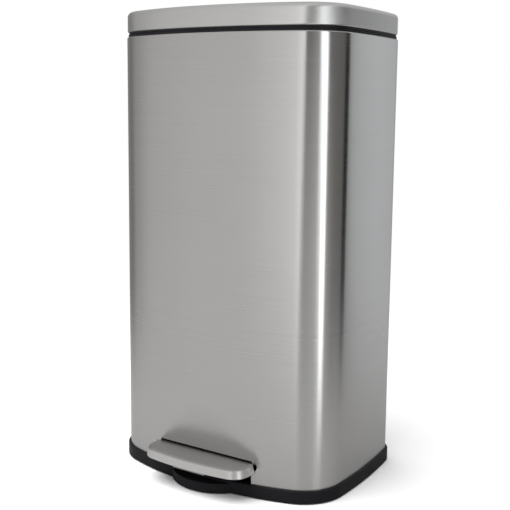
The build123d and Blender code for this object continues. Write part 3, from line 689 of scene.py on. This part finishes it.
class ShapeTree(Graph):
    """Geometry tree with named inputs, run on a plain mesh and then turned into a plain mesh."""

    def __init__(self, name):
        super().__init__(bpy.data.node_groups.new(name, "GeometryNodeTree"))
        self.panel = self.tree.interface
        self.keys = {}
        self.panel.new_socket("Geometry", in_out="INPUT", socket_type="NodeSocketGeometry")
        self.panel.new_socket("Geometry", in_out="OUTPUT", socket_type="NodeSocketGeometry")

    def inputs(self, **kinds):
        """Makes the tree's inputs, each a name with its kind, and returns their sockets by name."""
        for name, kind in kinds.items():
            label = name.replace("_", " ")
            made = self.panel.new_socket(label, in_out="INPUT", socket_type="NodeSocket" + kind)
            self.keys[name] = made.identifier
        return self.add("NodeGroupInput").outputs

    def spread(self, parts, points):
        """The parts joined and put on every one of the loose points, as real geometry."""
        whole = self.add("GeometryNodeJoinGeometry")
        for part in parts:
            self.tree.links.new(part, whole.inputs["Geometry"])
        places = self.add("GeometryNodeMeshToPoints", {"Mesh": points}).outputs["Points"]
        inputs = {"Points": places, "Instance": whole.outputs["Geometry"]}
        spread = self.add("GeometryNodeInstanceOnPoints", inputs).outputs["Instances"]
        return self.add("GeometryNodeRealizeInstances", {"Geometry": spread}).outputs["Geometry"]

    def finish(self, geometry, material):
        """Gives the geometry its material and makes it the tree's result."""
        made = self.add("GeometryNodeSetMaterial", {"Geometry": geometry, "Material": material})
        out = self.add("NodeGroupOutput")
        self.tree.links.new(made.outputs["Geometry"], out.inputs[0])
        return self

    def run(self, piece, **values):
        """Applies the tree to a piece with the given values and keeps only the mesh it makes."""
        modifier = piece.modifiers.new("shape", "NODES")
        modifier.node_group = self.tree
        for name, value in values.items():
            modifier[self.keys[name]] = value
        piece.update_tag()
        bake(piece)
        return piece

    def moved(self, geometry, x=0.0, y=0.0, z=0.0):
        """The geometry moved by three amounts, each a number or a socket."""
        place = self.add("ShaderNodeCombineXYZ", {"X": x, "Y": y, "Z": z})
        inputs = {"Geometry": geometry, "Translation": place.outputs[0]}
        return self.add("GeometryNodeTransform", inputs).outputs[0]

    def cylinder(self, radius, depth, sides=32):
        inputs = {"Vertices": sides, "Radius": radius, "Depth": depth}
        return self.add("GeometryNodeMeshCylinder", inputs).outputs["Mesh"]


SCREW_HEAD = 3.8 * MM
SCREW_HEAD_HIGH = 2.4 * MM
SCREW_CROWN = 0.72          # flat of the head's crown, as a share of the head
SCREW_SHANK = 1.95 * MM
SCREW_RECESS = 1.1 * MM     # width of the cross recess
FOOT_RADIUS = 9.0 * MM
FOOT_RING = 0.8             # ring on a foot's sole, as a share of the foot
FOOT_RING_HIGH = 0.5 * MM


def screw_tree():
    """Pan-head screws with a cross recess: heads below the points, shanks above them."""
    tree = ShapeTree("screws")
    given = tree.inputs(Head_Radius="Float", Head_Height="Float", Crown="Float", Shank_Radius="Float",
                        Shank_Length="Float", Recess_Width="Float", Material="Material")
    half = tree.math("MULTIPLY", given["Head Height"], 0.5)
    rim = tree.moved(tree.cylinder(given["Head Radius"], half), z=tree.math("MULTIPLY", half, -0.5))
    crown = tree.add("GeometryNodeMeshCone", {
        "Vertices": 32, "Radius Top": given["Head Radius"], "Radius Bottom": given["Crown"], "Depth": half,
    }).outputs["Mesh"]
    crown = tree.moved(crown, z=tree.math("MULTIPLY", given["Head Height"], -1.0))
    shank = tree.cylinder(given["Shank Radius"], given["Shank Length"], 20)
    shank = tree.moved(shank, z=tree.math("MULTIPLY", given["Shank Length"], 0.5))
    arm = tree.math("MULTIPLY", given["Head Radius"], 1.15)
    cutters = []
    for wide, long in ((given["Recess Width"], arm), (arm, given["Recess Width"])):
        size = tree.add("ShaderNodeCombineXYZ", {"X": wide, "Y": long, "Z": given["Head Height"]}).outputs[0]
        bar = tree.add("GeometryNodeMeshCube", {"Size": size}).outputs["Mesh"]
        cutters.append(tree.moved(bar, z=tree.math("MULTIPLY", given["Head Height"], -1.1)))
    cut = tree.add("GeometryNodeMeshBoolean", {"Mesh 1": crown}, operation="DIFFERENCE")
    for cutter in cutters:
        tree.tree.links.new(cutter, cut.inputs["Mesh 2"])
    return tree.finish(tree.spread((rim, cut.outputs["Mesh"], shank), given["Geometry"]), given["Material"])


def points_at(name, places):
    """Loose points that a tree puts its pieces on."""
    return add_piece(name, places, [])


SCREWS = screw_tree()


def screws_up(name, node, body, places):
    """Screws driven upwards, in place of a node's plain ones."""
    low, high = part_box(node)
    head = min(SCREW_HEAD, (high.y - low.y) / 2)
    seat = low.z + SCREW_HEAD_HIGH
    piece = points_at(name, [(x, y, seat) for x, y in places])
    SCREWS.run(piece, Head_Radius=head, Head_Height=SCREW_HEAD_HIGH, Crown=head * SCREW_CROWN,
               Shank_Radius=SCREW_SHANK, Shank_Length=high.z - seat, Recess_Width=SCREW_RECESS,
               Material=bright_zinc)
    smooth(piece)
    return dress(piece, None, body, "screw_steel", node)


def screw_places(node):
    """Where a node's screws stand, from its box: one row, or two rows when the box is deep."""
    low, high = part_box(node)
    rows = sorted({round(low.y + SCREW_HEAD, 6), round(high.y - SCREW_HEAD, 6)})
    return [(x, y) for x in (low.x + SCREW_HEAD, high.x - SCREW_HEAD) for y in rows]


SCREW_SETS = (
    ("lid_screw_heads", "lid_screws", "lid"),
    ("pedal_screw_heads", "pedal_screws", "pedal"),
    ("frame_screw_heads", "surround_screws", "bin"),
)
for made, node, body in SCREW_SETS:
    screws_up(made, node, body, screw_places(node))


def feet_tree():
    """Rubber feet: discs under the points, with a raised ring on the sole."""
    tree = ShapeTree("feet")
    given = tree.inputs(Radius="Float", Height="Float", Ring_Radius="Float", Ring_Height="Float",
                        Material="Material")
    body_high = tree.math("SUBTRACT", given["Height"], given["Ring Height"])
    disc = tree.moved(tree.cylinder(given["Radius"], body_high, 48), z=tree.math("MULTIPLY", body_high, -0.5))
    ring = tree.cylinder(given["Ring Radius"], given["Ring Height"], 48)
    down = tree.math("ADD", body_high, tree.math("MULTIPLY", given["Ring Height"], 0.5))
    ring = tree.moved(ring, z=tree.math("MULTIPLY", down, -1.0))
    return tree.finish(tree.spread((disc, ring), given["Geometry"]), given["Material"])


def rubber_feet():
    low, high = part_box("base_feet")
    xs = (low.x + FOOT_RADIUS, high.x - FOOT_RADIUS)
    ys = (low.y + FOOT_RADIUS, high.y - FOOT_RADIUS)
    feet = points_at("feet_discs", [(x, y, high.z) for x in xs for y in ys])
    feet_tree().run(feet, Radius=FOOT_RADIUS, Height=high.z - low.z, Ring_Radius=FOOT_RING * FOOT_RADIUS,
                    Ring_Height=FOOT_RING_HIGH, Material=black_rubber)
    smooth(feet)
    return feet


dress(rubber_feet(), None, "bin", "rubber", "base_feet")

# ---- Nodes kept from the frame, with finished materials ----

FINISHES = {
    "black_plastic": black_plastic,
    "liner_plastic": liner_plastic,
    "bucket_plastic": bucket_plastic,
    "nylon": nylon,
    "steel_zinc": zinc,
    "screw_steel": bright_zinc,
    "rubber": black_rubber,
    "brushed_steel": body_steel,
}


def finish_kept_nodes():
    slots = {part["node"]: part["material_slot"] for part in frame["record"]["subparts"]}
    for name, node in frame["nodes"].items():
        node.data.materials.clear()
        node.data.materials.append(FINISHES[slots[name]])


finish_kept_nodes()

# ---- Floor, light and camera ----

FLOOR_RADIUS = 1.3
FLOOR_PLAIN = 0.4           # the floor is plain out to this radius and fades into the white round it beyond


def floor():
    sides = 96
    turns = [2 * math.pi * i / sides for i in range(sides)]
    rim = [(FLOOR_RADIUS * math.cos(turn), FLOOR_RADIUS * math.sin(turn), 0) for turn in turns]
    piece = add_piece("floor", rim, [tuple(range(sides))])
    material, graph, shader, where = start_material("pale_floor", Roughness=0.8)
    seen = graph.add("ShaderNodeLightPath").outputs["Is Camera Ray"]
    colour = graph.mixed(seen, (0.33, 0.33, 0.33, 1), (0.9, 0.9, 0.9, 1))
    wire(graph, shader, Base_Color=colour)
    away = graph.add("ShaderNodeVectorMath", {0: where}, operation="LENGTH").outputs["Value"]
    fade = graph.ranged(away, FLOOR_PLAIN, FLOOR_RADIUS, 0.0, 1.0)
    clear = graph.add("ShaderNodeBsdfTransparent")
    both = graph.add("ShaderNodeMixShader", {0: fade, 1: shader.outputs["BSDF"], 2: clear.outputs[0]})
    out = next(node for node in graph.tree.nodes if node.type == "OUTPUT_MATERIAL")
    graph.tree.links.new(both.outputs[0], out.inputs["Surface"])
    piece.data.materials.append(material)


# Studio walls: degrees round the bin from the pedal side, how bright the wall is there, and how warm.
STUDIO = (
    (-180, 0.42, 0.0), (-150, 0.34, 0.0), (-120, 0.26, 0.05), (-92, 0.22, 0.05),
    (-78, 0.32, 0.05), (-66, 0.54, 0.05),
    (-40, 0.61, 0.05), (-16, 0.64, 0.05), (0, 0.79, 0.05), (12, 1.05, 0.0), (21, 1.26, 0.0), (23, 1.26, 0.0),
    (25, 0.08, 0.6), (38, 0.12, 0.05), (57, 0.3, 0.0), (61.5, 2.4, -0.4), (75, 2.4, -0.4), (78, 0.06, 1.0),
    (88, 0.08, 0.4), (100, 0.14, 0.4), (126, 0.13, 0.4),
    (129, 0.015, 1.5), (143, 0.015, 1.5), (147, 0.60, -0.35),
    (160, 0.66, -0.35), (172, 0.54, -0.35), (180, 0.42, 0.0),
)
# The same walls nearer the floor, where the dark screen beside the lamp has ended.
STUDIO_LOW = (
    (-180, 0.42, 0.0), (-150, 0.34, 0.0), (-120, 0.26, 0.05), (-92, 0.22, 0.05),
    (-78, 0.34, 0.05), (-66, 0.58, 0.05),
    (-40, 0.64, 0.05), (-16, 0.66, 0.05), (0, 0.82, 0.05), (10, 1.05, 0.0), (17, 1.1, 0.0), (19, 0.46, 0.4),
    (38, 0.52, 0.0), (60, 0.66, 0.0), (66, 0.7, 0.0), (68, 3.2, -0.4), (77, 3.2, -0.4), (79, 0.5, 0.4),
    (100, 0.2, 0.4), (126, 0.16, 0.4), (129, 0.015, 1.5), (143, 0.015, 1.5), (147, 0.56, -0.35),
    (160, 0.62, -0.35), (172, 0.54, -0.35), (180, 0.42, 0.0),
)
CEILING = 0.6
BRIGHTEST = max(level for _, level, _ in STUDIO + STUDIO_LOW)


def wall_ramp(graph, turn, walls):
    ramp = graph.add("ShaderNodeValToRGB", {"Fac": turn})
    stops = ramp.color_ramp.elements
    stops.remove(stops[1])
    for i, (degrees, level, warm) in enumerate(walls):
        place = degrees / 360 + 0.5
        stop = stops.new(place) if i else stops[0]
        stop.position = place
        shade = level / BRIGHTEST
        stop.color = (shade * (1 + 0.06 * warm), shade, shade * (1 - 0.08 * warm), 1)
    return ramp.outputs["Color"]


def studio_world():
    """Pale studio: walls of differing brightness all round, seen as plain white."""
    world = bpy.data.worlds.new("studio")
    bpy.context.scene.world = world
    world.use_nodes = True
    tree = world.node_tree
    tree.nodes.clear()
    graph = Graph(tree)
    where = graph.add("ShaderNodeTexCoord").outputs["Generated"]
    split = graph.add("ShaderNodeSeparateXYZ", {"Vector": where})
    forward = graph.math("MULTIPLY", split.outputs["Y"], -1.0)
    angle = graph.math("ARCTAN2", split.outputs["X"], forward)
    turn = graph.math("ADD", graph.math("DIVIDE", angle, 2 * math.pi), 0.5)
    level = graph.ranged(split.outputs["Z"], -0.08, 0.04, 0.0, 1.0)
    wall = graph.mixed(level, wall_ramp(graph, turn, STUDIO_LOW), wall_ramp(graph, turn, STUDIO))
    height = graph.ranged(split.outputs["Z"], 0.3, 0.75, 0.0, 1.0)
    overhead = CEILING / BRIGHTEST
    shade = graph.mixed(height, wall, (overhead, overhead, overhead, 1))
    walls = graph.add("ShaderNodeBackground", {"Color": shade, "Strength": BRIGHTEST})
    plain = graph.add("ShaderNodeBackground", {"Color": (1, 1, 1, 1), "Strength": 1.0})
    seen = graph.add("ShaderNodeLightPath").outputs["Is Camera Ray"]
    both = graph.add("ShaderNodeMixShader", {0: seen, 1: walls.outputs[0], 2: plain.outputs[0]})
    out = graph.add("ShaderNodeOutputWorld")
    tree.links.new(both.outputs[0], out.inputs["Surface"])


def soft_light(name, place, size, power):
    data = bpy.data.lights.new(name, "AREA")
    data.shape = "RECTANGLE"
    data.size, data.size_y = size
    data.energy = power
    light = bpy.data.objects.new(name, data)
    bpy.context.scene.collection.objects.link(light)
    light.location = place
    aim = Vector((0, 0, 0.3)) - Vector(place)
    light.rotation_euler = aim.to_track_quat("-Z", "Y").to_euler()
    light.visible_glossy = False
    return light


# Angles in radians, distances in metres, lens and sensor in millimetres.
CAMERA_TURN = 0.5773
CAMERA_DISTANCE = 1.2748
CAMERA_HEIGHT = 0.5125
CAMERA_DIP = 0.1455
CAMERA_YAW = -0.0015
CAMERA_ROLL = 0.0102
CAMERA_LENS = 64.805
CAMERA_SHIFT = -0.0392


def camera():
    data = bpy.data.cameras.new("camera")
    data.sensor_width = 36.0
    data.lens = CAMERA_LENS
    data.shift_y = CAMERA_SHIFT
    data.clip_end = 50.0
    cam = bpy.data.objects.new("camera", data)
    bpy.context.scene.collection.objects.link(cam)
    turn = CAMERA_TURN
    place = Vector((0, BODY_MID_Y, CAMERA_HEIGHT))
    place += Vector((math.sin(turn), -math.cos(turn), 0)) * CAMERA_DISTANCE
    yaw = turn + CAMERA_YAW
    level = Vector((-math.sin(yaw), math.cos(yaw), 0))
    right = Vector((math.cos(yaw), math.sin(yaw), 0))
    ahead = level * math.cos(CAMERA_DIP) - Vector((0, 0, math.sin(CAMERA_DIP)))
    up = level * math.sin(CAMERA_DIP) + Vector((0, 0, math.cos(CAMERA_DIP)))
    across = right * math.cos(CAMERA_ROLL) + up * math.sin(CAMERA_ROLL)
    upright = -right * math.sin(CAMERA_ROLL) + up * math.cos(CAMERA_ROLL)
    turned = Matrix((across, upright, -ahead)).transposed().to_4x4()
    cam.matrix_world = Matrix.Translation(place) @ turned
    bpy.context.scene.camera = cam


floor()
studio_world()
soft_light("overhead", (-0.4, -0.6, 2.6), (2.8, 2.8), 120.0)
soft_light("front_fill", (-1.2, -2.0, 1.2), (1.4, 1.8), 10.0)
camera()
bpy.context.scene.view_settings.view_transform = "Standard"
